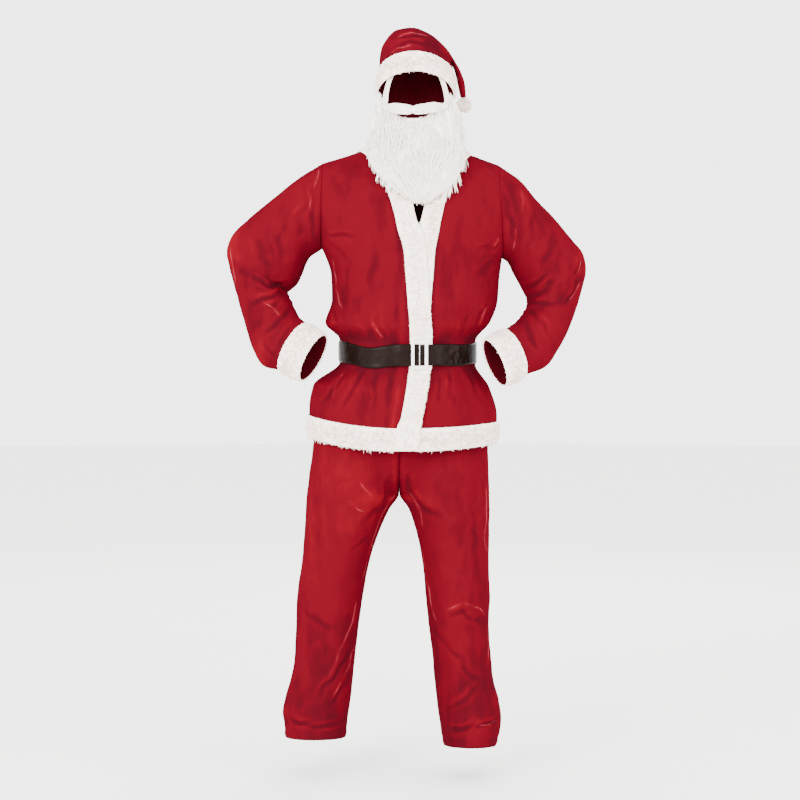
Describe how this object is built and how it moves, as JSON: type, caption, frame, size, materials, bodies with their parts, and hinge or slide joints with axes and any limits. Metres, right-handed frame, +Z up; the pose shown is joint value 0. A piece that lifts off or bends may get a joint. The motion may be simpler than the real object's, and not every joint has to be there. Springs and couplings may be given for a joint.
{
  "type": "santa suit",
  "caption": "Hollow worn red velour Santa suit in hands-on-hips pose: jacket, trousers, belt, tailed hat and false beard, white plush trim.",
  "frame": {"origin": "middle of the neck at the height where the jacket lies on the wearer's shoulders", "axes": "+Z up along the wearer's height, -Y the way the wearer faces, +X the wearer's left"},
  "size_m": [0.8813, 0.3146, 1.753],
  "materials": {
    "velour": "short-pile knitted velour, red",
    "plush": "deep soft pile, off-white",
    "hair": "long wavy synthetic hair, white",
    "vinyl": "glossy embossed black vinyl on a cloth backing",
    "silvered_metal": "bright silvered, lightly worn"
  },
  "bodies": {
    "root": {"jacket_front_right": "velour", "jacket_front_left": "velour", "jacket_back": "velour", "sleeve_right": "velour", "sleeve_left": "velour", "trouser_leg_right": "velour", "trouser_leg_left": "velour", "waistband": "velour", "hat_crown": "velour", "front_band_right": "plush", "front_band_left": "plush", "hem_band": "plush", "neck_band": "plush", "cuff_right": "plush", "cuff_left": "plush", "hat_band": "plush", "hat_pompom": "plush", "beard": "hair", "moustache": "hair", "whisker_right": "hair", "whisker_left": "hair", "belt": "vinyl", "buckle": "silvered_metal"}
  },
  "joints": []
}
